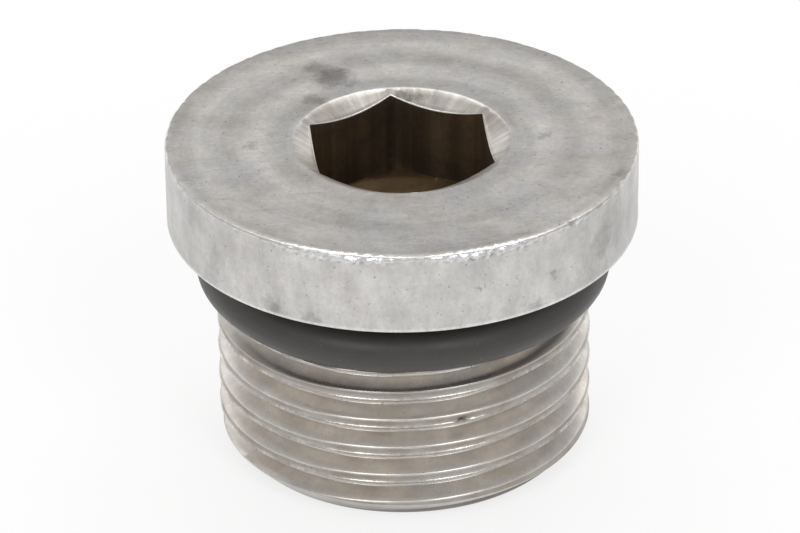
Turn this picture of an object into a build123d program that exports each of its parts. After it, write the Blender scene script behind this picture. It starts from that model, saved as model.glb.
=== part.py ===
from build123d import *
from math import radians, tan
import os

# Hex socket plug: a turned steel screw plug with a round flange head, and its rubber sealing ring.
# Millimetres, +Z up. The plug stands on the plain end of its shank. The origin is the centre of
# that end face, on the thread's axis, and one corner of the socket points to +Y.

os.makedirs("parts", exist_ok=True)

# Head: a plain round flange.
HEAD_D = 22.25
HEAD_T = 3.95
HEAD_EDGE_BREAK = 0.12

# Neck: the waist under the head that holds the ring.
NECK_D = 15.2
NECK_L = 3.37
NECK_ROOT_BEVEL = 0.25

# Shank: the threaded length from the neck's shoulder to the end face.
SHANK_L = 8.33
SHOULDER_BEVEL = 0.25
END_CHAMFER = 0.95

# Thread: right-hand, 60 degree metric profile, M18 x 1.5. The allowance is how far the outside
# lies under the nominal diameter. The truncations are shares of the sharp profile's height, at
# the nominal diameter and at the root.
THREAD_MAJOR_D = 17.75
THREAD_ALLOWANCE = 0.25
THREAD_PITCH = 1.5
THREAD_ANGLE = 60.0
CREST_TRUNCATION = 1 / 8
ROOT_TRUNCATION = 1 / 6
THREAD_LEAD_IN = 0.93
THREAD_OVERRUN = 1.0
CUTTER_RELIEF = 0.2

# Socket: a hexagon broached into a drilled pilot hole, with a wide countersink.
HEX_AF = 8.2
HEX_DEPTH = 4.2
COUNTERSINK_D = 10.2
COUNTERSINK_ANGLE = 120.0
DRILL_POINT_ANGLE = 118.0

# Sealing ring: an O-ring on the neck that has dropped onto the shoulder.
RING_SECTION_D = 2.2
RING_BORE_CLEARANCE = 0.05
RING_SEAT_GAP = 0.02

# Levels above the end face.
shoulder_z = SHANK_L
head_z = shoulder_z + NECK_L
top_z = head_z + HEAD_T
floor_z = top_z - HEX_DEPTH

# Groove section: a trapezoid with a flat root that is widest outside the shank.
flank_slope = tan(radians(THREAD_ANGLE / 2))
sharp_height = THREAD_PITCH / 2 / flank_slope
root_flat = THREAD_PITCH * ROOT_TRUNCATION
nominal_r = (THREAD_MAJOR_D + THREAD_ALLOWANCE) / 2
root_r = nominal_r - sharp_height * (1 - CREST_TRUNCATION - ROOT_TRUNCATION)
cutter_depth = THREAD_MAJOR_D / 2 + CUTTER_RELIEF - root_r
mouth_flat = root_flat + 2 * cutter_depth * flank_slope

# Cones of the socket, and the circle that the ring's section follows.
drill_point = HEX_AF / 2 / tan(radians(DRILL_POINT_ANGLE / 2))
countersink_depth = COUNTERSINK_D / 2 / tan(radians(COUNTERSINK_ANGLE / 2))
ring_r = NECK_D / 2 + RING_BORE_CLEARANCE + RING_SECTION_D / 2
ring_z = shoulder_z + RING_SEAT_GAP + RING_SECTION_D / 2


with BuildPart() as shank:
    # Thread: one helical groove in a rod that is longer than the shank. The groove starts in the
    # air below the rod's end face and stops in the air above the shoulder.
    with Locations((0, 0, -THREAD_LEAD_IN - THREAD_PITCH)):
        Cylinder(
            radius=THREAD_MAJOR_D / 2,
            height=THREAD_LEAD_IN + 2 * THREAD_PITCH + shoulder_z + THREAD_OVERRUN,
            align=(Align.CENTER, Align.CENTER, Align.MIN),
        )
    with BuildLine(Plane.XY.offset(-THREAD_LEAD_IN)) as groove_path:
        Helix(
            pitch=THREAD_PITCH,
            height=THREAD_LEAD_IN + shoulder_z + THREAD_OVERRUN,
            radius=root_r,
        )
    groove_plane = Plane(
        origin=(root_r, 0, -THREAD_LEAD_IN),
        x_dir=(1, 0, 0),
        z_dir=(0, -1, 0),
    )
    with BuildSketch(groove_plane):
        with BuildLine():
            Polyline(
                (0, -root_flat / 2),
                (cutter_depth, -mouth_flat / 2),
                (cutter_depth, mouth_flat / 2),
                (0, root_flat / 2),
                close=True,
            )
        make_face()
    sweep(path=groove_path.line, is_frenet=True, mode=Mode.SUBTRACT)

    # The rod is trimmed to the shank's own form, so the first and last turns fade out at the end
    # chamfer and at the shoulder's bevel.
    with BuildSketch(Plane.XZ):
        with BuildLine():
            Polyline(
                (0, 0),
                (THREAD_MAJOR_D / 2 - END_CHAMFER, 0),
                (THREAD_MAJOR_D / 2, END_CHAMFER),
                (THREAD_MAJOR_D / 2, shoulder_z - SHOULDER_BEVEL),
                (THREAD_MAJOR_D / 2 - SHOULDER_BEVEL, shoulder_z),
                (0, shoulder_z),
                close=True,
            )
        make_face()
    revolve(axis=Axis.Z, mode=Mode.INTERSECT)


with BuildPart() as plug_body:
    # Head and neck, turned in one profile.
    with BuildSketch(Plane.XZ):
        with BuildLine():
            Polyline(
                (0, shoulder_z),
                (NECK_D / 2, shoulder_z),
                (NECK_D / 2, head_z),
                (HEAD_D / 2, head_z),
                (HEAD_D / 2, top_z),
                (0, top_z),
                close=True,
            )
        make_face()
    revolve(axis=Axis.Z)

    # The head's two rims are the widest circles. The neck's root is the inner circle of the
    # head's underside.
    rims = plug_body.edges().filter_by(GeomType.CIRCLE).group_by(SortBy.RADIUS)[-1]
    chamfer(rims, length=HEAD_EDGE_BREAK)
    underside = plug_body.faces().filter_by(Plane.XY).sort_by(Axis.Z)[-2]
    chamfer(underside.edges().sort_by(SortBy.RADIUS)[0], length=NECK_ROOT_BEVEL)
    add(shank.part)

    # Socket: hexagon, then the drill point below it, then the countersink at its mouth.
    with BuildSketch(Plane.XY.offset(top_z)):
        RegularPolygon(radius=HEX_AF / 2, side_count=6, major_radius=False, rotation=30)
    extrude(amount=-HEX_DEPTH, mode=Mode.SUBTRACT)
    with BuildSketch(Plane.XZ):
        with BuildLine():
            Polyline(
                (0, floor_z),
                (HEX_AF / 2, floor_z),
                (0, floor_z - drill_point),
                close=True,
            )
        make_face()
    revolve(axis=Axis.Z, mode=Mode.SUBTRACT)
    with BuildSketch(Plane.XZ):
        with BuildLine():
            Polyline(
                (0, top_z),
                (COUNTERSINK_D / 2, top_z),
                (0, top_z - countersink_depth),
                close=True,
            )
        make_face()
    revolve(axis=Axis.Z, mode=Mode.SUBTRACT)

plug_body.part.label = "plug_body"


with BuildPart() as o_ring:
    # The ring hangs round the neck with a little play and lies on the shoulder.
    with BuildSketch(Plane.XZ):
        with Locations((ring_r, ring_z)):
            Circle(radius=RING_SECTION_D / 2)
    revolve(axis=Axis.Z)

o_ring.part.label = "o_ring"


export_step(plug_body.part, "parts/plug_body.step")
export_step(o_ring.part, "parts/o_ring.step")
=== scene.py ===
"""Looks of the hex socket plug: a turned steel plug body and its rubber sealing ring.

Lengths are in millimetres until a mesh, a lamp or the camera is made, and metres from there on.
The frame is the part's own: +Z up, the thread's axis on Z, the end face at zero, and one corner
of the socket towards +Y. Angles about the axis start at +X, and the front is near -90 degrees.
"""

import logging
import math
from dataclasses import dataclass
from enum import Enum

import bpy
import numpy as np
from mathutils import Matrix, Vector


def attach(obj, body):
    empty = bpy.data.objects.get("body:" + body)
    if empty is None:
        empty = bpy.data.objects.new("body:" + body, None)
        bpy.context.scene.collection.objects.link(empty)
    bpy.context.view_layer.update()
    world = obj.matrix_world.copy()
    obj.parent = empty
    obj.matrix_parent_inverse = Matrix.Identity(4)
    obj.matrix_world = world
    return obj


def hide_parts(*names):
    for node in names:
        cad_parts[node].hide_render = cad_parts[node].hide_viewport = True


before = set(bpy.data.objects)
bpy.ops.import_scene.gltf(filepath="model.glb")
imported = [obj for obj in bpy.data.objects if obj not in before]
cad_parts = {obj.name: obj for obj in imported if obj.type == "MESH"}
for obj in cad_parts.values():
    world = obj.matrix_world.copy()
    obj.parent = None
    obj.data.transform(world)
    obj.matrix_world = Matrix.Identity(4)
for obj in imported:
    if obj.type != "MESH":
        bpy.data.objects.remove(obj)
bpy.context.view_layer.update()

MM = 0.001

# What a mesh tells its finish at each point: up to 1 where wear has brightened the metal and
# where a highlight is painted, and down to -1 where shade is painted and on the darkened end
# chamfer.
WEAR_AND_PAINTED_LIGHT = "edge_wear_and_painted_light"

# Points that agree to this many decimals of a millimetre are one point.
MERGE_DECIMALS = 5

# Edges sharper than this stay crisp.
CRISP_ANGLE = math.radians(32)

# The circle where the flange's side meets its face.
RIM_RADIUS = 11.12
FACE_HEIGHT = 15.65

log = logging.getLogger("hex_socket_plug")

Colour = tuple[float, float, float, float]

# Values along a row of points, or one value for all of them.
Curve = np.ndarray | float

# A shader's tree of nodes, and a value that one node in it hands to others.
Tree = bpy.types.NodeTree
Wire = bpy.types.NodeSocket


def linear(code: str) -> Colour:
    """Turns an sRGB hex colour to the linear colour that a shader takes.

    Args:
        code: Six hex digits, such as "b4afaa".

    Returns:
        Red, green, blue and an alpha of 1, all linear.
    """
    channels = [int(code[i : i + 2], 16) / 255 for i in (0, 2, 4)]
    red, green, blue = [
        c / 12.92 if c <= 0.04045 else ((c + 0.055) / 1.055) ** 2.4 for c in channels
    ]
    return red, green, blue, 1.0


def add_node(
    tree: Tree,
    kind: str,
    inputs: dict[str, object] | tuple[object, ...] = (),
    out: int = 0,
    **settings: object,
) -> Wire | None:
    """Adds one node to a tree, sets it and links it.

    Args:
        tree: The node tree.
        kind: The node's type, without the "ShaderNode" that each starts with.
        inputs: What the inputs get, by their names, or in the node's own order: a socket is
            linked, and anything else is the input's value.
        out: Which output to give back.
        **settings: The node's own settings, such as operation.

    Returns:
        The output socket asked for, or None where the node has no output.
    """
    node = tree.nodes.new("ShaderNode" + kind)
    for name, value in settings.items():
        setattr(node, name, value)
    named = inputs if isinstance(inputs, dict) else dict(enumerate(inputs))
    for key, value in named.items():
        if isinstance(value, Wire):
            tree.links.new(value, node.inputs[key])
        else:
            node.inputs[key].default_value = value
    return node.outputs[out] if len(node.outputs) > out else None


def start_material(name: str) -> tuple[bpy.types.Material, Tree]:
    """Makes a material with an empty node tree.

    Args:
        name: The material's name.

    Returns:
        The material and its tree.
    """
    made = bpy.data.materials.new(name)
    made.use_nodes = True
    made.node_tree.nodes.clear()
    return made, made.node_tree


def add_place(tree: Tree) -> Wire:
    """Gives a material the place on the part, in millimetres of the part's own frame."""
    source = add_node(tree, "TexCoord", out=3)
    return add_node(
        tree, "VectorMath", {"Vector": source, "Scale": 1 / MM}, operation="SCALE"
    )


def add_object(name: str, data: bpy.types.ID) -> bpy.types.Object:
    """Adds an object to the scene.

    Args:
        name: The object's name.
        data: Its mesh, lamp or camera.

    Returns:
        The object.
    """
    made = bpy.data.objects.new(name, data)
    bpy.context.scene.collection.objects.link(made)
    return made


def smooth_min(a: Curve, b: Curve, blend: float) -> Curve:
    """Gives the lesser of two curves, with the corner where they cross rounded.

    Args:
        a: One curve.
        b: The other curve, or one level.
        blend: How far from the corner the rounding reaches, in the curves' own unit.

    Returns:
        The rounded lesser curve.
    """
    share = np.clip(0.5 + 0.5 * (b - a) / blend, 0, 1)
    return b + (a - b) * share - blend * share * (1 - share)


def ripple(angle: np.ndarray, seed: int, slowest: int, fastest: int) -> np.ndarray:
    """Makes a smooth random curve round the axis.

    Args:
        angle: Angles about the axis, in radians.
        seed: Which curve.
        slowest: Fewest waves in a full turn.
        fastest: Most waves in a full turn.

    Returns:
        The curve at those angles, mostly between -1 and 1.
    """
    count = 16
    draw = np.random.default_rng(seed)
    waves = draw.integers(slowest, fastest + 1, count)
    starts = draw.uniform(0, math.tau, count)
    total = sum(np.cos(n * angle + start) for n, start in zip(waves, starts))
    return total / math.sqrt(count)


def facing(heading_deg: float, elevation_deg: float) -> Vector:
    """Gives the direction from the plug towards a lamp or the camera.

    Args:
        heading_deg: Angle about the axis from the front, in degrees.
        elevation_deg: Angle above the floor, in degrees.

    Returns:
        The unit direction.
    """
    turn, rise = math.radians(heading_deg), math.radians(elevation_deg)
    level = math.cos(rise)
    return Vector((math.sin(turn) * level, -math.cos(turn) * level, math.sin(rise)))


@dataclass(frozen=True)
class Stretch:
    """A stretch of an edge or a wall that bears a mark, by its angles about the axis."""

    centre_deg: float
    half_width_deg: float
    strength: float = 1.0

    def at(self, angle: np.ndarray) -> np.ndarray:
        """Gives how strong the mark is.

        Args:
            angle: Angles about the axis, in radians.

        Returns:
            The strength at the stretch's centre, falling smoothly to 0 at its ends.
        """
        away = np.abs((np.degrees(angle) - self.centre_deg + 180) % 360 - 180)
        share = np.clip(away / self.half_width_deg, 0, 1)
        return self.strength * np.cos(share * math.pi / 2) ** 2


@dataclass(frozen=True)
class Line:
    """A narrow line that runs round the part, by its place across the surface."""

    centre: float
    reach: float
    strength: float = 1.0

    def at(self, place: Curve) -> Curve:
        """Gives how strong the line is.

        Args:
            place: Places across the line, in millimetres.

        Returns:
            The strength on the line, about a third of it one reach away, and then nearly 0.
        """
        return self.strength * np.exp(-(((place - self.centre) / self.reach) ** 2))


class Marks(Enum):
    """Which way a steel surface's tool marks run."""

    RINGS = "circles on a flat face"
    TURNS = "circles round a cylinder"
    STREAKS = "lines down a slope, towards the axis"


@dataclass(frozen=True)
class StainOrShade:
    """A dark patch on the steel. Small ones are stains, and broad ones are painted shade.

    It lies on the flange's rim where no other place is given.
    """

    angle_deg: float
    reach: float
    strength: float
    radius: float = RIM_RADIUS
    height: float = FACE_HEIGHT

    def centre(self) -> Vector:
        """Gives the patch's middle in the part's frame."""
        angle = math.radians(self.angle_deg)
        return Vector((self.radius * math.cos(angle), self.radius * math.sin(angle), self.height))


@dataclass(frozen=True)
class SteelFinish:
    """One finish of the plug's plain carbon steel, and how to make its material.

    Sizes, spacings and depths are millimetres. Tones are shares of the brightness that a pattern
    adds and takes away, and the other shares run from 0 to 1. In the trees below, noise mostly
    lies between 0.3 and 0.7, and a map range has its old limits before its new ones.
    """

    name: str
    dark: str
    light: str
    dirt_and_shade: str = "3c3833"
    worn_and_highlight: str = "e9e4dc"
    tint: str = "a9adb0"
    tint_share: float = 0.35
    tint_size: float = 1 / 0.42
    roughness: tuple[float, float] = (0.34, 0.46)
    worn_roughness: float = 0.25
    blotch_size: float = 2.2
    blotch_upright: float = 1.0
    marks: Marks = Marks.RINGS
    mark_spacing: float = 0.3
    mark_tone: float = 0.08
    mark_depth: float = 0.004
    grit_size: float = 1 / 4.5
    grit_depth: float = 0.004
    torn_depth: float = 0.03
    grain_tone: float = 0.04
    pit_size: float = 0.22
    pit_from: float = 0.655
    pit_edge: float = 0.085
    pit_share: float = 0.3
    pit_depth: float = 0.03
    darkening_share: float = 0.8
    ring_tone: float = 0.0
    ring_spacing: float = 2.54
    ring_radius: float = 7.26
    scratch_tone: float = 0.0
    stains_and_shade: tuple[StainOrShade, ...] = ()

    def material(self) -> bpy.types.Material:
        """Builds the finish as a node material.

        Returns:
            The material, with patterns in millimetres of the part's own frame.
        """
        made, tree = start_material(self.name)
        place = add_place(tree)
        axes = add_node(tree, "SeparateXYZ", (place,)).node.outputs
        flat = add_node(tree, "CombineXYZ", (axes[0], axes[1]))
        radius = add_node(tree, "VectorMath", (flat,), out=1, operation="LENGTH")
        spoke = add_node(tree, "VectorMath", (flat,), operation="NORMALIZE")

        # Blotches of handling and oil, drawn out upright on some surfaces.
        drawn = add_node(
            tree,
            "VectorMath",
            (place, (1.0, 1.0, 1 / self.blotch_upright)),
            operation="MULTIPLY",
        )
        blotch = add_node(
            tree,
            "TexNoise",
            {"Vector": drawn, "Scale": 1 / self.blotch_size, "Detail": 8.0, "Roughness": 0.68},
        )
        grit = add_node(
            tree,
            "TexNoise",
            {"Vector": place, "Scale": 1 / self.grit_size, "Detail": 4.0, "Roughness": 0.75},
        )
        marks = self._add_tool_marks(tree, spoke, axes[2], radius)
        colour = self._add_metal(tree, place, blotch, marks, grit)
        if self.ring_tone:
            colour = self._add_rings(tree, colour, radius, place)
        if self.scratch_tone:
            colour = self._add_scratches(tree, colour, place)

        # Dirt and painted shade: pits; painted shade and the chamfer's darkening, where the mesh
        # gives less than no wear; and stains, the broad ones painted shade.
        wear = add_node(
            tree, "Attribute", out=2, attribute_type="GEOMETRY", attribute_name=WEAR_AND_PAINTED_LIGHT
        )
        pits = self._add_pits(tree, place)
        darkening = add_node(tree, "MapRange", (wear, -1.0, 0.0, self.darkening_share, 0.0))
        dirt_and_shade = add_node(tree, "Math", (pits, darkening), operation="MAXIMUM")
        if self.stains_and_shade:
            dirt_and_shade = self._add_stains_and_shade(tree, place, dirt_and_shade)
        colour = add_node(tree, "MixRGB", (dirt_and_shade, colour, linear(self.dirt_and_shade)))

        # Worn edges and painted highlights: the mesh says how bright each is, and grit breaks the
        # line up.
        lost = add_node(tree, "MapRange", (grit, 0.35, 0.6, 0.35, 1.0))
        bright = add_node(tree, "Math", (wear, lost), operation="MULTIPLY", use_clamp=True)
        colour = add_node(tree, "MixRGB", (bright, colour, linear(self.worn_and_highlight)))

        # Roughness follows the blotches, and worn edges and painted highlights are smoother.
        smooth, rough = self.roughness
        sheen = add_node(tree, "MapRange", (blotch, 0.3, 0.7, rough, smooth))
        sheen = add_node(tree, "MapRange", (bright, 0.0, 1.0, sheen, self.worn_roughness))
        normal = self._add_relief(tree, marks, grit, bright, pits)
        shader = add_node(
            tree,
            "BsdfPrincipled",
            {"Base Color": colour, "Metallic": 1.0, "Roughness": sheen, "Normal": normal},
        )
        add_node(tree, "OutputMaterial", {"Surface": shader})
        return made

    def _add_tool_marks(self, tree: Tree, spoke: Wire, height: Wire, radius: Wire) -> Wire:
        """Adds the noise of the tool marks, stretched along the tool's way.

        Args:
            tree: The material's tree.
            spoke: The direction from the axis.
            height: Height above the end face, in millimetres.
            radius: Distance from the axis, in millimetres.

        Returns:
            The noise, from 0 to 1.
        """
        # How fast the noise changes round the axis, and then along it or out from it. Streaks
        # are spaced at the socket's mouth, about this far from the axis.
        streak_radius = 5.0
        if self.marks is Marks.STREAKS:
            around, onward = streak_radius / self.mark_spacing, 0.4
        else:
            around, onward = 1.6, 1 / self.mark_spacing
        along = height if self.marks is Marks.TURNS else radius
        lift = add_node(tree, "Math", (along, onward), operation="MULTIPLY")
        shift = add_node(tree, "CombineXYZ", {"Z": lift})
        track = add_node(
            tree,
            "VectorMath",
            (spoke, (around, around, around), shift),
            operation="MULTIPLY_ADD",
        )
        return add_node(
            tree,
            "TexNoise",
            {"Vector": track, "Scale": 1.0, "Detail": 4.0, "Roughness": 0.65},
        )

    def _add_metal(self, tree: Tree, place: Wire, blotch: Wire, marks: Wire, grit: Wire) -> Wire:
        """Adds the clean metal's colour: blotches, a cool cast, tool marks and grain.

        Args:
            tree: The material's tree.
            place: Place on the part, in millimetres.
            blotch: Noise of the blotches.
            marks: Noise of the tool marks.
            grit: Noise of the grit.

        Returns:
            The colour.
        """
        tone = add_node(tree, "MapRange", (blotch, 0.36, 0.66, 0.0, 1.0))
        colour = add_node(tree, "MixRGB", (tone, linear(self.dark), linear(self.light)))
        # A faint cool cast comes and goes, as thin oxide and oil give it.
        cast = add_node(
            tree,
            "TexNoise",
            {"Vector": place, "Scale": 1 / self.tint_size, "Detail": 5.0, "Roughness": 0.6},
        )
        cast = add_node(tree, "MapRange", (cast, 0.42, 0.62, 0.0, self.tint_share))
        colour = add_node(tree, "MixRGB", (cast, colour, linear(self.tint)))
        darker, brighter = 1 - self.mark_tone, 1 + self.mark_tone
        lines = add_node(tree, "MapRange", (marks, 0.33, 0.67, darker, brighter))
        darker, brighter = 1 - self.grain_tone, 1 + self.grain_tone
        grain = add_node(tree, "MapRange", (grit, 0.3, 0.7, darker, brighter))
        value = add_node(tree, "Math", (lines, grain), operation="MULTIPLY")
        return add_node(tree, "HueSaturation", {"Value": value, "Color": colour})

    def _add_rings(self, tree: Tree, colour: Wire, radius: Wire, place: Wire) -> Wire:
        """Adds the broad pale and dull rings that facing in steps leaves.

        Args:
            tree: The material's tree.
            colour: The colour so far.
            radius: Distance from the axis, in millimetres.
            place: Place on the part, in millimetres.

        Returns:
            The colour with the rings in it.
        """
        drift_size, drift = 6.25, 0.8
        noise = add_node(
            tree, "TexNoise", {"Vector": place, "Scale": 1 / drift_size, "Detail": 2.0}
        )
        wander = add_node(tree, "Math", (noise, drift, radius), operation="MULTIPLY_ADD")
        turns = math.tau / self.ring_spacing
        phase = add_node(
            tree,
            "Math",
            (wander, turns, -turns * self.ring_radius),
            operation="MULTIPLY_ADD",
        )
        wave = add_node(tree, "Math", (phase,), operation="COSINE")
        # The rings are plainest on the far half, where the face was least handled.
        far = add_node(tree, "SeparateXYZ", (place,)).node.outputs["Y"]
        plain = add_node(tree, "MapRange", (far, -9.0, 3.0, 0.25, 1.0))
        wave = add_node(tree, "Math", (wave, plain), operation="MULTIPLY")
        darker, brighter = 1 - self.ring_tone, 1 + self.ring_tone
        value = add_node(tree, "MapRange", (wave, -1.0, 1.0, darker, brighter))
        return add_node(tree, "HueSaturation", {"Value": value, "Color": colour})

    def _add_scratches(self, tree: Tree, colour: Wire, place: Wire) -> Wire:
        """Adds short pale and dark scratches that run two ways.

        Args:
            tree: The material's tree.
            colour: The colour so far.
            place: Place on the part, in millimetres.

        Returns:
            The colour with the scratches in it.
        """
        # Scratches are about 0.03 mm wide, drawn 0.1 mm wide so that they show.
        length, spacing = 1 / 0.55, 1 / 4.5
        for turn, change in ((0.45, self.scratch_tone), (-1.1, -self.scratch_tone)):
            drawn = add_node(
                tree,
                "Mapping",
                {
                    "Vector": place,
                    "Rotation": (0.0, 0.0, turn),
                    "Scale": (1 / length, 1 / spacing, 1.0),
                },
            )
            noise = add_node(
                tree,
                "TexNoise",
                {"Vector": drawn, "Scale": 1.0, "Detail": 3.0, "Roughness": 0.6},
            )
            value = add_node(tree, "MapRange", (noise, 0.62, 0.7, 1.0, 1.0 + change))
            colour = add_node(tree, "HueSaturation", {"Value": value, "Color": colour})
        return colour

    def _add_pits(self, tree: Tree, place: Wire) -> Wire:
        """Adds the mask of the small pits.

        Args:
            tree: The material's tree.
            place: Place on the part, in millimetres.

        Returns:
            The mask: the pits' share in a pit, and 0 elsewhere.
        """
        noise = add_node(
            tree,
            "TexNoise",
            {"Vector": place, "Scale": 1 / self.pit_size, "Detail": 3.0, "Roughness": 0.6},
        )
        full = self.pit_from + self.pit_edge
        return add_node(tree, "MapRange", (noise, self.pit_from, full, 0.0, self.pit_share))

    def _add_stains_and_shade(self, tree: Tree, place: Wire, dirt_and_shade: Wire) -> Wire:
        """Adds the finish's stains, and its broad patches of painted shade, to its mask of dirt
        and shade.

        Args:
            tree: The material's tree.
            place: Place on the part, in millimetres.
            dirt_and_shade: The mask so far.

        Returns:
            The mask with the patches in it.
        """
        # Noise moves each place by up to half of this either way, which makes outlines ragged.
        sway, sway_size = 1.9, 1 / 1.8
        noise = add_node(
            tree,
            "TexNoise",
            {"Vector": place, "Scale": 1 / sway_size, "Detail": 6.0, "Roughness": 0.75},
            out=1,
        )
        ragged = add_node(
            tree, "VectorMath", (noise, (sway, sway, sway), place), operation="MULTIPLY_ADD"
        )
        for dark_patch in self.stains_and_shade:
            centre = dark_patch.centre() + Vector((sway, sway, sway)) / 2
            away = add_node(tree, "VectorMath", (ragged, centre), out=1, operation="DISTANCE")
            core = 0.25 * dark_patch.reach
            patch = add_node(
                tree,
                "MapRange",
                (away, dark_patch.reach, core, 0.0, dark_patch.strength),
                interpolation_type="SMOOTHSTEP",
            )
            dirt_and_shade = add_node(tree, "Math", (dirt_and_shade, patch), operation="MAXIMUM")
        return dirt_and_shade

    def _add_relief(self, tree: Tree, marks: Wire, grit: Wire, bright: Wire, pits: Wire) -> Wire:
        """Adds relief: tool marks, then grit, coarser where wear tore the metal, then pits.

        Args:
            tree: The material's tree.
            marks: Noise of the tool marks.
            grit: Noise of the grit.
            bright: How worn the metal is, and how strong its painted highlights are.
            pits: The mask of the pits.

        Returns:
            The surface's normal.
        """
        torn = add_node(
            tree,
            "MapRange",
            (bright, 0.3, 1.0, self.grit_depth * MM, self.torn_depth * MM),
        )
        normal = add_node(
            tree,
            "Bump",
            {"Strength": 1.0, "Distance": self.mark_depth * MM, "Height": marks},
        )
        normal = add_node(
            tree,
            "Bump",
            {"Strength": 1.0, "Distance": torn, "Height": grit, "Normal": normal},
        )
        depth = self.pit_depth * MM
        return add_node(
            tree,
            "Bump",
            {"Strength": 1.0, "Distance": depth, "Height": pits, "Normal": normal},
            invert=True,
        )


@dataclass(frozen=True)
class RubberFinish:
    """Nitrile rubber, moulded: black and dull to the eye, with a dry grey film and some dust."""

    name: str = "nitrile_rubber_moulded"
    base: str = "2b2a29"
    film: str = "4a4744"
    film_size: float = 2.0
    dust: str = "8d8a84"
    dust_size: float = 1 / 4.5
    dust_share: float = 0.3
    dust_depth: float = 0.006
    roughness: tuple[float, float] = (0.36, 0.55)

    def material(self) -> bpy.types.Material:
        """Builds the rubber as a node material.

        Returns:
            The material, with patterns in millimetres of the part's own frame.
        """
        made, tree = start_material(self.name)
        place = add_place(tree)
        film = add_node(
            tree,
            "TexNoise",
            {"Vector": place, "Scale": 1 / self.film_size, "Detail": 6.0, "Roughness": 0.65},
        )
        colour = add_node(tree, "MixRGB", (film, linear(self.base), linear(self.film)))
        # Specks of dust, about a tenth of a millimetre, drawn twice that so that they show.
        speck = add_node(
            tree, "TexNoise", {"Vector": place, "Scale": 1 / self.dust_size, "Detail": 2.0}
        )
        dust = add_node(tree, "MapRange", (speck, 0.72, 0.8, 0.0, self.dust_share))
        colour = add_node(tree, "MixRGB", (dust, colour, linear(self.dust)))
        smooth, rough = self.roughness
        sheen = add_node(tree, "MapRange", (film, 0.35, 0.65, smooth, rough))
        normal = add_node(
            tree,
            "Bump",
            {"Strength": 1.0, "Distance": self.dust_depth * MM, "Height": speck},
        )
        shader = add_node(
            tree,
            "BsdfPrincipled",
            {"Base Color": colour, "Roughness": sheen, "Normal": normal},
        )
        add_node(tree, "OutputMaterial", {"Surface": shader})
        return made


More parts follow.
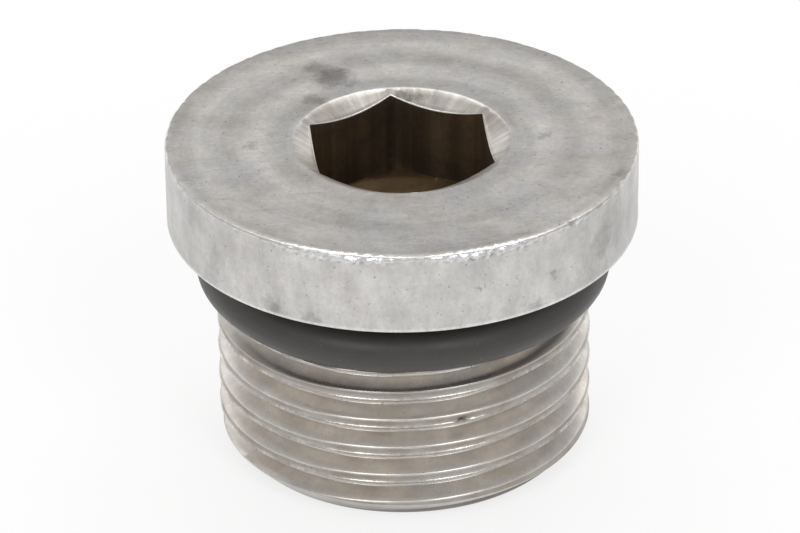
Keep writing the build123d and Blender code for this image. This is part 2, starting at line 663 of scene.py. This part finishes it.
class Zone(Enum):
    """The plug body's surfaces, by how each was made and what it met since."""

    # Faced on a lathe in steps, then dulled by handling: grey, blotched, with broad rings.
    FACE = SteelFinish(
        name="carbon_steel_faced",
        dark="aaa6a2",
        light="c3bfbb",
        roughness=(0.40, 0.55),
        marks=Marks.RINGS,
        mark_spacing=0.4,
        mark_tone=0.05,
        grain_tone=0.085,
        ring_tone=0.12,
        scratch_tone=0.13,
        pit_from=0.635,
        pit_size=0.18,
        pit_share=0.5,
        stains_and_shade=(
            StainOrShade(111.0, 1.35, 0.6, radius=7.0),
            StainOrShade(113.0, 0.9, 0.35, radius=8.3),
            StainOrShade(107.0, 0.8, 0.3, radius=6.2),
            StainOrShade(130.0, 0.8, 0.35, radius=5.8),
            StainOrShade(178.0, 0.5, 0.36, radius=7.14),
            StainOrShade(-3.5, 0.42, 0.4, radius=6.71),
            StainOrShade(-97.0, 1.0, 0.25, radius=9.4),
            StainOrShade(-24.6, 0.9, 0.35, radius=10.9),
            # The two broad patches below are painted shade: the face darker towards the front and
            # the right.
            StainOrShade(-98.0, 10.0, 0.13, radius=9.6),
            StainOrShade(-30.0, 5.0, 0.09, radius=10.4),
        ),
    )
    # Turned round the flange: paler and smoother, with faint upright patches.
    SIDE = SteelFinish(
        name="carbon_steel_turned",
        dark="c0bdba",
        light="d5d3d0",
        worn_and_highlight="f0f1f2",
        tint_share=0.15,
        roughness=(0.30, 0.42),
        marks=Marks.TURNS,
        mark_spacing=0.35,
        mark_tone=0.025,
        grain_tone=0.07,
        scratch_tone=0.07,
        blotch_size=1.3,
        blotch_upright=1.7,
        pit_size=0.16,
        pit_share=0.6,
        stains_and_shade=(
            StainOrShade(-40.0, 1.5, 0.4, height=13.7),
            StainOrShade(-58.4, 0.3, 0.3, height=13.3),
            StainOrShade(-78.3, 0.26, 0.5, height=13.7),
            StainOrShade(-128.2, 0.9, 0.33, height=12.0),
            StainOrShade(-118.2, 0.6, 0.33, height=11.9),
            StainOrShade(-63.0, 0.7, 0.33, height=12.0),
            # The two broad patches below are painted shade: the side darker towards its right and
            # left ends.
            StainOrShade(-33.0, 5.5, 0.17, height=13.7),
            StainOrShade(-160.0, 5.5, 0.1, height=13.7),
        ),
    )
    # Countersunk with a scraping tool that chattered: bright, with streaks down the slope.
    COUNTERSINK = SteelFinish(
        name="carbon_steel_countersunk",
        dark="b4aea6",
        light="d3cec6",
        worn_and_highlight="eef2f6",
        tint_share=0.15,
        roughness=(0.30, 0.42),
        marks=Marks.STREAKS,
        mark_spacing=0.42,
        mark_tone=0.2,
        grain_tone=0.02,
        pit_share=0.1,
        stains_and_shade=(
            StainOrShade(82.0, 0.6, 0.5, radius=4.75, height=15.4),
            StainOrShade(75.0, 0.5, 0.45, radius=4.8, height=15.4),
            StainOrShade(66.0, 0.4, 0.25, radius=4.8, height=15.4),
        ),
    )
    # Broached, and left oily: dark brown, with strokes down the walls.
    SOCKET = SteelFinish(
        name="carbon_steel_broached_oily",
        dark="80766b",
        light="b3a797",
        tint="96918c",
        worn_and_highlight="cfc5b6",
        worn_roughness=0.35,
        roughness=(0.25, 0.4),
        marks=Marks.STREAKS,
        mark_spacing=0.5,
        mark_tone=0.22,
        pit_share=0.2,
    )
    # The drilled bottom of the socket: darker, where oil and dust have settled.
    SOCKET_FLOOR = SteelFinish(
        name="carbon_steel_drilled_oily",
        dark="4a3b29",
        light="66543c",
        tint="5e5142",
        roughness=(0.35, 0.5),
        marks=Marks.RINGS,
        mark_spacing=0.4,
        mark_tone=0.15,
        pit_share=0.2,
    )
    # Thread cut with a die: warm grey flanks, and crests that wear has brightened.
    THREAD = SteelFinish(
        name="carbon_steel_threaded",
        dark="c3bcb4",
        light="dad4cc",
        worn_and_highlight="fdf9f2",
        worn_roughness=0.2,
        roughness=(0.24, 0.36),
        marks=Marks.TURNS,
        mark_spacing=0.5,
        mark_tone=0.07,
        pit_share=0.35,
        pit_depth=0.01,
        torn_depth=0.008,
    )
    # The flats between the thread's turns: dull skin of the bar, darker than the flanks as
    # painted shade, with edges worn bright.
    CREST_SKIN_AND_SHADE = SteelFinish(
        name="carbon_steel_thread_crest_and_painted_shade",
        dark="928a82",
        light="aaa39a",
        worn_and_highlight="fdf9f2",
        worn_roughness=0.2,
        roughness=(0.26, 0.4),
        marks=Marks.TURNS,
        mark_spacing=0.5,
        mark_tone=0.05,
        pit_share=0.4,
        pit_depth=0.01,
        torn_depth=0.008,
    )
    # The faces that stay hidden in use: turned, duller, left with a film of oil.
    HIDDEN = SteelFinish(
        name="carbon_steel_turned_dull",
        dark="9a948e",
        light="aea8a2",
        roughness=(0.32, 0.48),
        marks=Marks.RINGS,
        mark_spacing=0.3,
        mark_tone=0.16,
        mark_depth=0.008,
        pit_share=0.35,
    )


class TurnedMesh:
    """A mesh made of rows round the axis, each row one lap of points."""

    def __init__(self, columns: int) -> None:
        """Starts an empty mesh.

        Args:
            columns: How many points each lap has.
        """
        self.columns = columns
        self.turn = np.arange(columns + 1) / columns
        self.angle = math.tau * (self.turn % 1.0)
        self._points: list[np.ndarray] = []
        self._wear: list[np.ndarray] = []
        self._zones: list[Zone] = []

    def row(self, radius: Curve, height: Curve, zone: Zone, wear: Curve = 0.0) -> None:
        """Adds one lap, joined to the lap before it.

        Args:
            radius: Distance from the axis at each column, in millimetres.
            height: Height at each column, in millimetres.
            zone: The finish of the strip between the last lap and this one.
            wear: How worn the metal is, up to 1, with painted highlights there too, and below 0
                where
            shade is painted and on the darkened end chamfer.
        """
        radius = np.broadcast_to(radius, self.angle.shape)
        height = np.broadcast_to(height, self.angle.shape)
        across, along = radius * np.cos(self.angle), radius * np.sin(self.angle)
        self._points.append(np.stack([across, along, height], axis=-1))
        self._wear.append(np.broadcast_to(wear, self.angle.shape))
        self._zones.append(zone)

    def build(self, name: str) -> bpy.types.Object:
        """Joins the laps into one closed mesh and dresses it.

        Args:
            name: The piece's name.

        Returns:
            The finished object, in metres.
        """
        points = np.round(np.concatenate(self._points), MERGE_DECIMALS)
        kept, first, index = np.unique(points, axis=0, return_index=True, return_inverse=True)
        wear = np.concatenate(self._wear)[first]
        index = index.reshape(len(self._points), self.columns + 1)
        zones = list(dict.fromkeys(self._zones[1:]))
        faces: list[tuple[int, ...]] = []
        slots: list[int] = []
        for lower, upper, zone in zip(index, index[1:], self._zones[1:]):
            for c in range(self.columns):
                loop = (lower[c], lower[c + 1], upper[c + 1], upper[c])
                face = tuple(dict.fromkeys(int(v) for v in loop))
                if len(face) > 2:
                    faces.append(face)
                    slots.append(zones.index(zone))
        mesh = bpy.data.meshes.new(name)
        mesh.from_pydata((kept * MM).tolist(), [], faces)
        for zone in zones:
            mesh.materials.append(zone.value.material())
        mesh.polygons.foreach_set("material_index", slots)
        layer = mesh.attributes.new(WEAR_AND_PAINTED_LIGHT, "FLOAT", "POINT")
        layer.data.foreach_set("value", wear.astype(np.float32))
        mesh.shade_smooth()
        mesh.set_sharp_from_angle(angle=CRISP_ANGLE)
        mesh.update()
        return add_object(name, mesh)


@dataclass(frozen=True)
class Thread:
    """The right-hand thread: one groove that climbs round the shank, in millimetres.

    The groove's middle passes +X at the start height and a pitch above it at each later turn.
    Offsets are heights measured from the middle of the nearest groove.
    """

    major_radius: float = 8.875
    root_radius: float = 8.08
    pitch: float = 1.5
    root_flat: float = 0.17
    flank_deg: float = 30.0
    start: float = -0.93
    root_rounding: float = 0.12
    crest_rounding: float = 0.09
    crest_from: float = 0.56
    burr_height: float = 0.05
    burr: Line = Line(0.58, 0.045)
    lower_wear: Line = Line(0.61, 0.045)
    upper_wear: Line = Line(-0.56, 0.03, 0.4)
    # Painted shade along the top groove, which lies under the ring and the flange, towards the
    # front.
    shaded_turn: int = 5
    shaded_flank: Line = Line(-0.45, 0.17, 0.9)
    shaded_stretch: Stretch = Stretch(-110.0, 125.0)

    def row_offsets(self) -> list[float]:
        """Gives the offsets of one turn's rows, closest together at the root and the crest.

        Returns:
            The offsets, from the crest above one groove down to its middle and up again.
        """
        flank = [0.06, 0.10, 0.16, 0.33, 0.49, 0.525, 0.55, 0.575]
        burr = [0.60, 0.63, 0.66]
        upper_crest = -0.62
        falling = [-offset for offset in reversed(flank)]
        return [upper_crest, *falling, 0.0, *flank, *burr, self.pitch / 2]

    def radius(self, turn: np.ndarray, height: np.ndarray) -> np.ndarray:
        """Works out how far from the axis the thread's surface lies.

        Args:
            turn: Turns about the axis from +X, from 0 to 1.
            height: Heights above the end face.

        Returns:
            The radius at each place.
        """
        offset = self._offset(turn, height)
        rise = (np.abs(offset) - self.root_flat / 2) / math.tan(math.radians(self.flank_deg))
        flank = self.root_radius - smooth_min(-rise, 0.0, self.root_rounding)
        # The die leaves a fine burr that stands up along the lower edge of every crest.
        crest = self.major_radius - self.burr_height * (1 - self.burr.at(offset))
        return smooth_min(flank, crest, self.crest_rounding)

    def wear(self, turn: np.ndarray, height: np.ndarray) -> np.ndarray:
        """Says how worn the thread is: most on the burr along the crest's lower edge.

        Args:
            turn: Turns about the axis from +X, from 0 to 1.
            height: Heights above the end face.

        Returns:
            The wear at each place, from 0 to 1, and below 0 where painted shade darkens the top
            groove.
        """
        offset = self._offset(turn, height)
        top_groove = self.start + self.pitch * (turn + self.shaded_turn)
        darkening = self.shaded_flank.at(height - top_groove)
        darkening = darkening * self.shaded_stretch.at(math.tau * turn)
        return self.lower_wear.at(offset) + self.upper_wear.at(offset) - darkening

    def _offset(self, turn: np.ndarray, height: np.ndarray) -> np.ndarray:
        """Gives each place's height from the middle of the nearest groove."""
        groove = self.start + self.pitch * turn
        return (height - groove + self.pitch / 2) % self.pitch - self.pitch / 2


@dataclass(frozen=True)
class UpperRim:
    """The flange's upper rim: a broken corner, bruised where it met the bench.

    Each form takes the rim down by its drop and in by its inset, in millimetres.
    """

    drop: float = 0.08
    inset: float = 0.06
    bruise_drop: float = 0.10
    bruise_inset: float = 0.12
    chip_drop: float = 0.18
    chip_inset: float = 0.24
    notch_drop: float = 0.2
    notch_inset: float = 0.12
    bruises: tuple[Stretch, ...] = (
        Stretch(-112.0, 26.0),
        Stretch(-76.0, 24.0),
        Stretch(-50.0, 9.0, 0.5),
    )
    notches: tuple[Stretch, ...] = (Stretch(-52.0, 1.3, 0.6), Stretch(-42.0, 1.2, 0.5))

    def add(self, mesh: TurnedMesh, rim: float, top: float) -> None:
        """Adds the rim, from the flange's side to its face.

        Args:
            mesh: The mesh to add to.
            rim: The flange's radius.
            top: The height of its face.
        """
        angle = mesh.angle
        coarse = np.clip(0.55 + 0.55 * ripple(angle, 71, 45, 170), 0, 1)
        fine = np.clip(0.5 + 0.5 * ripple(angle, 72, 90, 200), 0, 1)
        # Small knocks all round, and the long bruises.
        bruised = np.clip(0.1 + 0.16 * ripple(angle, 75, 12, 90), 0.03, 0.4)
        for bruise in self.bruises:
            bruised = np.maximum(bruised, bruise.at(angle))
        notch = sum(each.at(angle) for each in self.notches)
        drop = bruised * (self.bruise_drop + self.chip_drop * coarse)
        drop = self.drop + drop + self.notch_drop * notch
        inset = bruised * (self.bruise_inset + self.chip_inset * fine)
        inset = self.inset + inset + self.notch_inset * notch
        # The notches are darkened with painted shade, and the dark specks on the burr are painted
        # shade.
        wear = np.clip(0.2 + 1.1 * bruised * (0.5 + 0.5 * coarse) - notch, -1, 1)
        specks = bruised * np.clip(1.6 * ripple(angle, 74, 50, 200), -1, 1)
        burr = 0.004 + 0.02 * bruised * fine
        mesh.row(rim - 0.006, top - drop - 0.06, Zone.SIDE, 0.7 * specks)
        mesh.row(rim - burr, top - drop, Zone.SIDE, wear)
        for inward, down in ((0.3, 0.35), (0.65, 0.1)):
            mesh.row(rim - inward * inset, top - down * drop, Zone.SIDE, wear)
        mesh.row(rim - inset, top - 0.012 * bruised, Zone.SIDE, 0.6 * wear)


@dataclass(frozen=True)
class Socket:
    """The hexagon socket: countersink, broached walls and the drill's cone, in millimetres."""

    mouth_radius: float = 5.1
    slope_deg: float = 30.0
    hex_apothem: float = 4.1
    corner_deg: float = 90.0
    floor: float = 11.45
    drill_tip: float = 8.99
    lip_break: float = 0.07
    lip_drop: float = 0.045
    lip_wear_and_highlight: Stretch = Stretch(82.0, 80.0, 0.75)
    pale_strips: tuple[Stretch, ...] = (Stretch(58.0, 9.0, 0.6), Stretch(35.0, 20.0, 0.2))
    shaded_corners: tuple[Stretch, ...] = (Stretch(90.0, 5.0, 0.35), Stretch(74.0, 5.0, 0.25))

    def add(self, mesh: TurnedMesh, top: float) -> None:
        """Adds the socket, from its mouth down to the tip of the drill's cone.

        Args:
            mesh: The mesh to add to.
            top: The height of the flange's face.
        """
        angle = mesh.angle
        slope = math.tan(math.radians(self.slope_deg))
        wall = (np.degrees(angle) - self.corner_deg) % 60.0
        hexagon = self.hex_apothem / np.cos(np.radians(wall - 30.0))
        edge = hexagon + self.lip_break
        mesh.row(self.mouth_radius - 0.02, top - 0.03, Zone.COUNTERSINK, 0.1)
        for share in (0.12, 0.35, 0.6, 0.82, 1.0):
            radius = self.mouth_radius - share * (self.mouth_radius - edge)
            mesh.row(radius, top - slope * (self.mouth_radius - radius), Zone.COUNTERSINK)

        # The lip is worn bright all round, and a painted highlight brightens it most on the far
        # side.
        lip = top - slope * (self.mouth_radius - edge)
        bright = 0.15 + self.lip_wear_and_highlight.at(angle)
        mesh.row(edge - 0.005, lip - 0.008, Zone.COUNTERSINK, bright)
        mesh.row(hexagon + 0.015, lip - 0.03, Zone.COUNTERSINK, bright)
        mesh.row(hexagon, lip - self.lip_drop, Zone.SOCKET, 0.3)

        # One wall has a paler strip, and painted shade darkens the far corner and the wall beside
        # it.
        strips = sum(strip.at(angle) for strip in self.pale_strips)
        corners = sum(corner.at(angle) for corner in self.shaded_corners)
        for share in (0.15, 0.35, 0.55, 0.75, 0.93, 1.0):
            height = (lip - self.lip_drop) * (1 - share) + self.floor * share
            mesh.row(hexagon, height, Zone.SOCKET, strips - corners)
        mesh.row(self.hex_apothem, self.floor, Zone.SOCKET_FLOOR)
        for share in (0.04, 0.3, 0.6, 0.85, 1.0):
            height = self.floor - share * (self.floor - self.drill_tip)
            mesh.row(self.hex_apothem * (1 - share), height, Zone.SOCKET_FLOOR)


@dataclass(frozen=True)
class PlugBody:
    """The steel plug: flange head with a hexagon socket, neck and threaded shank."""

    head_radius: float = 11.115
    underside: float = 11.7
    top: float = 15.648
    lower_break: float = 0.12
    side_rows: tuple[float, ...] = (12.2, 12.9, 13.6, 14.3, 14.9, 15.2)
    side_dent: float = 0.006
    neck_radius: float = 7.6
    neck_bevel: float = 0.25
    neck_fillet: float = 0.12
    shoulder: float = 8.33
    shoulder_bevel: float = 0.25
    bevel_rounding: float = 0.05
    bevel_wear_and_highlight: float = 0.09
    end_chamfer: float = 0.95
    chamfer_rounding: float = 0.14
    chamfer_darkening: float = 0.85
    columns: int = 408

    # Rows on the flat faces and the neck. The last ring of a face is close to its edge, so that
    # the wear and the dirt of the edge don't spread inward.
    end_rings: tuple[float, ...] = (0.0, 0.6, 2.0, 4.0, 6.0, 7.2)
    ledge_rings: tuple[float, ...] = (8.4, 8.0)
    neck_rows: tuple[float, ...] = (9.4, 10.6)
    underside_rings: tuple[float, ...] = (8.6, 9.6, 10.5)

    thread: Thread = Thread()
    upper_rim: UpperRim = UpperRim()
    socket: Socket = Socket()

    # A bruise across one crest, where something hard caught it.
    nick_depth: float = 0.26
    nick_height: Line = Line(5.32, 0.16)
    nick_stretch: Stretch = Stretch(-78.6, 2.4)

    # The face's shallow waves, and the scuffed ring round the socket.
    wave_depth: float = 0.004
    wave_spacing: float = 2.54
    wave_radius: float = 8.13
    unevenness: float = 0.003
    scuffed_ring: Line = Line(6.8, 0.35)
    scuffs: tuple[Stretch, ...] = (
        Stretch(4.0, 10.0, 0.5),
        Stretch(84.0, 24.0, 0.4),
        Stretch(190.0, 60.0, 0.22),
    )

    def build(self) -> bpy.types.Object:
        """Builds the plug body from the end face up, and down into the socket.

        Returns:
            The finished piece.
        """
        mesh = TurnedMesh(self.columns)
        self._add_end_face(mesh)
        self._add_chamfer(mesh)
        self._add_thread(mesh)
        self._add_shoulder(mesh)
        self._add_neck(mesh)
        self._add_flange_side(mesh)
        self.upper_rim.add(mesh, self.head_radius, self.top)
        self._add_top_face(mesh)
        self.socket.add(mesh, self.top)
        piece = mesh.build("plug_body_dressed")
        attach(piece, "root")
        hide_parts("plug_body")
        return piece

    def _shank_radius(self, turn: np.ndarray, height: np.ndarray) -> np.ndarray:
        """Gives the shank's radius: the thread, held in by the end chamfer and the bevel.

        Args:
            turn: Turns about the axis from +X, from 0 to 1.
            height: Heights above the end face.

        Returns:
            The radius at each place.
        """
        major = self.thread.major_radius
        radius = self.thread.radius(turn, height)
        chamfer = major - self.end_chamfer + height
        bevel = major - self.shoulder_bevel + self.shoulder - height
        radius = smooth_min(radius, chamfer, self.chamfer_rounding)
        radius = smooth_min(radius, bevel, self.bevel_rounding)
        return radius - self.nick_depth * self._nick(turn, height)

    def _nick(self, turn: np.ndarray, height: np.ndarray) -> np.ndarray:
        """Gives the nick's shape: 1 at its middle, and 0 away from it."""
        return self.nick_stretch.at(math.tau * turn) * self.nick_height.at(height)

    def _add_end_face(self, mesh: TurnedMesh) -> None:
        """Adds the plain end face that the plug stands on."""
        for radius in self.end_rings:
            mesh.row(radius, 0.0, Zone.HIDDEN)

    def _add_chamfer(self, mesh: TurnedMesh) -> None:
        """Adds the end chamfer, darkened most towards the end face.

        Args:
            mesh: The mesh to add to.
        """
        turn = mesh.turn % 1.0
        for height in np.linspace(0.0, self.end_chamfer, 15):
            level = np.full_like(turn, height)
            zone = Zone.HIDDEN if height == 0 else Zone.THREAD
            darkening = self.chamfer_darkening * (1 - (height / self.end_chamfer) ** 4)
            wear = 0.2 * self.thread.wear(turn, level) - darkening
            mesh.row(self._shank_radius(turn, level), level, zone, wear)

    def _add_thread(self, mesh: TurnedMesh) -> None:
        """Adds the thread in rows that climb with it, cut off level at both ends.

        Args:
            mesh: The mesh to add to.
        """
        low, high = self.end_chamfer, self.shoulder - self.shoulder_bevel
        thread, turn, margin = self.thread, mesh.turn % 1.0, 0.2
        laps = int((high + thread.pitch) / thread.pitch) + 2
        for lap in range(-1, laps):
            # Wear comes and goes round each lap, and is little near the end chamfer.
            broken = 0.75 + 0.25 * ripple(mesh.angle, 5 + lap, 3, 40)
            for offset in thread.row_offsets():
                base = thread.start + lap * thread.pitch + offset
                if not low - thread.pitch - margin < base < high + margin:
                    continue
                height = np.round(np.clip(base + thread.pitch * mesh.turn, low, high), 6)
                wear = thread.wear(turn, height)
                kept = broken * np.clip((height - low) / 0.7, 0.15, 1.0)
                # Below 0 the wear is painted shade and stays, and the nick is darkened with
                # painted shade.
                wear = np.where(wear > 0, wear * kept, wear) - 1.8 * self._nick(turn, height)
                zone = Zone.CREST_SKIN_AND_SHADE if abs(offset) > thread.crest_from else Zone.THREAD
                mesh.row(self._shank_radius(turn, height), height, zone, np.clip(wear, -1, 1))

    def _add_shoulder(self, mesh: TurnedMesh) -> None:
        """Adds the bevel above the thread, with its lower edge worn bright and given a painted
        highlight.

        Args:
            mesh: The mesh to add to.
        """
        low, turn = self.shoulder - self.shoulder_bevel, mesh.turn % 1.0
        edge = Line(low, self.bevel_wear_and_highlight)
        worn_and_highlight = 0.55 + 0.3 * ripple(mesh.angle, 31, 3, 30)
        for height in np.linspace(low, self.shoulder, 7):
            level = np.full_like(turn, height)
            wear = np.clip(worn_and_highlight * edge.at(level), 0, 1)
            mesh.row(self._shank_radius(turn, level), level, Zone.THREAD, wear)

    def _add_neck(self, mesh: TurnedMesh) -> None:
        """Adds the shoulder's ledge, the neck and the head's underside.

        Args:
            mesh: The mesh to add to.
        """
        neck, fillet, bevel = self.neck_radius, self.neck_fillet, self.neck_bevel
        for radius in (*self.ledge_rings, neck + fillet):
            mesh.row(radius, self.shoulder, Zone.HIDDEN)
        mesh.row(neck + fillet / 4, self.shoulder + fillet / 4, Zone.HIDDEN)
        for height in (self.shoulder + fillet, *self.neck_rows, self.underside - bevel):
            mesh.row(neck, height, Zone.HIDDEN)
        for radius in (neck + bevel, *self.underside_rings):
            mesh.row(radius, self.underside, Zone.HIDDEN)

    def _add_flange_side(self, mesh: TurnedMesh) -> None:
        """Adds the flange's rounded lower edge, brightened as a painted highlight, and its
        slightly uneven side.

        Args:
            mesh: The mesh to add to.
        """
        rim, cut = self.head_radius, self.lower_break
        # The wear values along the lower edge paint its highlight.
        for bend in np.radians((0, 22, 45, 68, 90)):
            radius = rim - cut * (1 - math.sin(bend))
            height = self.underside + cut * (1 - math.cos(bend))
            mesh.row(radius, height, Zone.SIDE, 0.65 * math.sin(bend))
        for above, wear in ((0.05, 0.5), (0.11, 0.0)):
            mesh.row(rim, self.underside + cut + above, Zone.SIDE, wear)
        for height in self.side_rows:
            dent = self.side_dent * (1 + ripple(mesh.angle, int(height * 10), 4, 30))
            mesh.row(rim - dent, height, Zone.SIDE)

    def _add_top_face(self, mesh: TurnedMesh) -> None:
        """Adds the head's face, with the shallow waves that facing leaves.

        Args:
            mesh: The mesh to add to.
        """
        angle, mouth = mesh.angle, self.socket.mouth_radius
        scuffed = sum(scuff.at(angle) for scuff in self.scuffs)
        scuffed = scuffed * (0.8 + 0.35 * ripple(angle, 91, 8, 60))
        for radius in np.linspace(self.head_radius - 0.45, mouth + 0.12, 16):
            phase = math.tau * (radius - self.wave_radius) / self.wave_spacing
            wave = self.wave_depth * (1 + math.cos(phase))
            slow = self.unevenness * np.clip(1 + ripple(angle, int(radius * 7), 2, 9), 0, 2)
            wear = np.clip(self.scuffed_ring.at(radius) * scuffed, 0, 1)
            mesh.row(radius, self.top - wave - slow, Zone.FACE, wear)
        mesh.row(mouth + 0.03, self.top - 0.012, Zone.FACE, 0.15)


@dataclass(frozen=True)
class SealingRing:
    """The rubber ring that lies on the shoulder, with its fine moulding line."""

    centre_radius: float = 8.75
    section_radius: float = 1.095
    height: float = 9.45
    flash: float = 0.015
    flash_width: float = 0.06
    sway: float = 0.012
    laps: int = 320
    points: int = 56

    def build(self) -> bpy.types.Object:
        """Builds the ring.

        Returns:
            The finished piece.
        """
        mesh = bpy.data.meshes.new("sealing_ring_dressed")
        mesh.from_pydata((self._places() * MM).tolist(), [], self._faces())
        mesh.materials.append(RubberFinish().material())
        mesh.shade_smooth()
        mesh.update()
        piece = add_object("sealing_ring_dressed", mesh)
        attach(piece, "root")
        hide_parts("o_ring")
        return piece

    def _places(self) -> np.ndarray:
        """Works out the ring's points.

        Returns:
            The points, section by section, in millimetres.
        """
        around = math.tau * np.arange(self.laps) / self.laps
        section = math.tau * np.arange(self.points) / self.points
        a, s = np.meshgrid(around, section, indexing="ij")
        # The mould's halves meet on the inner and outer equator.
        seam = self.flash * np.exp(-((np.sin(s) / self.flash_width) ** 2))
        size = self.section_radius - self.flash + seam
        sway = self.sway * ripple(a, 3, 2, 7)
        radius = self.centre_radius + size * np.cos(s) - 0.4 * np.abs(sway)
        height = self.height + size * np.sin(s) + 0.5 * sway
        points = np.stack([radius * np.cos(a), radius * np.sin(a), height], axis=-1)
        return points.reshape(-1, 3)

    def _faces(self) -> list[tuple[int, int, int, int]]:
        """Joins each section's points to the next section's.

        Returns:
            The faces, each with the places of its four points.
        """
        faces = []
        for lap in range(self.laps):
            here, after = lap * self.points, (lap + 1) % self.laps * self.points
            for k in range(self.points):
                up = (k + 1) % self.points
                faces.append((here + k, after + k, after + up, here + up))
        return faces


@dataclass(frozen=True)
class Softbox:
    """A soft studio lamp that looks at the plug, with its distance and size in metres.

    Its turn is measured about the axis from the camera's own side.
    """

    name: str
    turn_deg: float
    elevation_deg: float
    size: tuple[float, float]
    power: float
    distance: float = 0.6
    aim_height: float = 0.008

    def light(self, heading_deg: float) -> bpy.types.Object:
        """Adds the lamp.

        Args:
            heading_deg: The camera's angle about the axis.

        Returns:
            The lamp.
        """
        lamp = bpy.data.lights.new(self.name, "AREA")
        lamp.shape = "RECTANGLE"
        lamp.size, lamp.size_y = self.size
        lamp.energy = self.power
        back = facing(heading_deg + self.turn_deg, self.elevation_deg)
        holder = add_object(self.name, lamp)
        holder.location = Vector((0, 0, self.aim_height)) + back * self.distance
        holder.rotation_mode = "QUATERNION"
        holder.rotation_quaternion = (-back).to_track_quat("-Z", "Y")
        holder.visible_camera = False
        return holder


@dataclass(frozen=True)
class Floor:
    """A matt white sheet under the plug's end face, with its rings' radii in metres."""

    rings: tuple[float, ...] = (0.03, 0.1, 0.3, 0.9)
    sides: int = 96
    gap: float = 0.02
    white: str = "fcfcfc"
    lit_share: float = 0.76

    def build(self) -> bpy.types.Object:
        """Adds the sheet, a hair below the end face, so that the two never lie in one plane.

        Returns:
            The sheet.
        """
        angle = math.tau * np.arange(self.sides) / self.sides
        level = -self.gap * MM
        points = [(0.0, 0.0, level)]
        for ring in self.rings:
            points += [(ring * math.cos(a), ring * math.sin(a), level) for a in angle]
        faces = [(0, 1 + k, 1 + (k + 1) % self.sides) for k in range(self.sides)]
        for ring in range(len(self.rings) - 1):
            low, high = 1 + ring * self.sides, 1 + (ring + 1) * self.sides
            for k in range(self.sides):
                after = (k + 1) % self.sides
                faces.append((low + k, high + k, high + after, low + after))
        mesh = bpy.data.meshes.new("studio_floor")
        mesh.from_pydata(points, [], faces)
        mesh.materials.append(self._material())
        floor = add_object("studio_floor", mesh)
        return floor

    def _material(self) -> bpy.types.Material:
        """Builds the sheet's paper: white and matt, with a soft shadow.

        Returns:
            The material. The camera and the metal see most of it at its full white.
        """
        made, tree = start_material("matt_white_paper")
        paper = add_node(
            tree,
            "BsdfPrincipled",
            {"Base Color": linear(self.white), "Roughness": 0.9, "Specular IOR Level": 0.1},
        )
        path = add_node(tree, "LightPath").node.outputs
        seen = add_node(
            tree, "Math", (path["Is Camera Ray"], path["Is Glossy Ray"]), operation="ADD"
        )
        seen = add_node(
            tree, "Math", (seen, path["Is Transmission Ray"]), operation="ADD", use_clamp=True
        )
        share = add_node(tree, "Math", (seen, self.lit_share), operation="MULTIPLY")
        lit = add_node(tree, "Emission", {"Color": linear("ffffff"), "Strength": 1.0})
        shader = add_node(tree, "MixShader", (share, paper, lit))
        add_node(tree, "OutputMaterial", {"Surface": shader})
        return made


@dataclass(frozen=True)
class Studio:
    """A plain white floor, soft light and the camera, with its lengths in millimetres."""

    heading_deg: float = -6.14
    elevation_deg: float = 30.2279
    roll_deg: float = -0.6816
    distance: float = 270.318
    aim_right: float = -0.1495
    aim_height: float = 8.7589
    lens: float = 256.37
    sensor_width: float = 36.0
    sky: float = 0.5
    softboxes: tuple[Softbox, ...] = (
        Softbox("left_softbox", -29.0, 40.0, size=(0.22, 0.36), power=0.78),
        Softbox("right_softbox", 29.0, 40.0, size=(0.22, 0.36), power=0.76),
        Softbox("far_left_softbox", -95.0, 30.0, size=(0.40, 0.34), power=0.12),
        Softbox("far_right_softbox", 95.0, 30.0, size=(0.40, 0.34), power=0.07),
        Softbox("top_softbox", 175.0, 60.0, size=(0.40, 0.36), power=0.75, distance=0.5),
        Softbox("back_left_softbox", -138.0, 14.0, size=(0.50, 0.26), power=0.35),
        Softbox("back_right_softbox", 138.0, 14.0, size=(0.50, 0.26), power=0.35),
    )

    def build(self) -> None:
        """Sets up the floor, the light and the camera."""
        Floor().build()
        self._add_sky()
        for softbox in self.softboxes:
            softbox.light(self.heading_deg)
        self._add_camera()
        bpy.context.scene.view_settings.view_transform = "Standard"

    def _add_sky(self) -> None:
        """Adds an even white sky."""
        world = bpy.data.worlds.new("studio_sky")
        world.use_nodes = True
        tree = world.node_tree
        tree.nodes.clear()
        glow = add_node(tree, "Background", {"Color": linear("ffffff"), "Strength": self.sky})
        add_node(tree, "OutputWorld", {"Surface": glow})
        bpy.context.scene.world = world

    def _add_camera(self) -> None:
        """Adds the camera, with its slight roll."""
        turn, roll = math.radians(self.heading_deg), math.radians(self.roll_deg)
        right = Vector((math.cos(turn), math.sin(turn), 0.0))
        back = facing(self.heading_deg, self.elevation_deg)
        up = back.cross(right)
        across = math.cos(roll) * right + math.sin(roll) * up
        upward = math.cos(roll) * up - math.sin(roll) * right
        aim = right * self.aim_right + Vector((0, 0, self.aim_height))
        place = (aim + back * self.distance) * MM
        lens = bpy.data.cameras.new("camera")
        lens.lens = self.lens
        lens.sensor_width = self.sensor_width
        lens.clip_start, lens.clip_end = 0.01, 10.0
        camera = add_object("camera", lens)
        turned = Matrix((across, upward, back)).transposed().to_4x4()
        camera.matrix_world = Matrix.Translation(place) @ turned
        bpy.context.scene.camera = camera


def main() -> None:
    """Builds the studio and both pieces, and reports each."""
    logging.basicConfig(level=logging.INFO, format="%(message)s")
    Studio().build()
    for maker in (PlugBody(), SealingRing()):
        piece = maker.build()
        log.info("%s: %d faces", piece.name, len(piece.data.polygons))


if __name__ == "__main__":
    main()
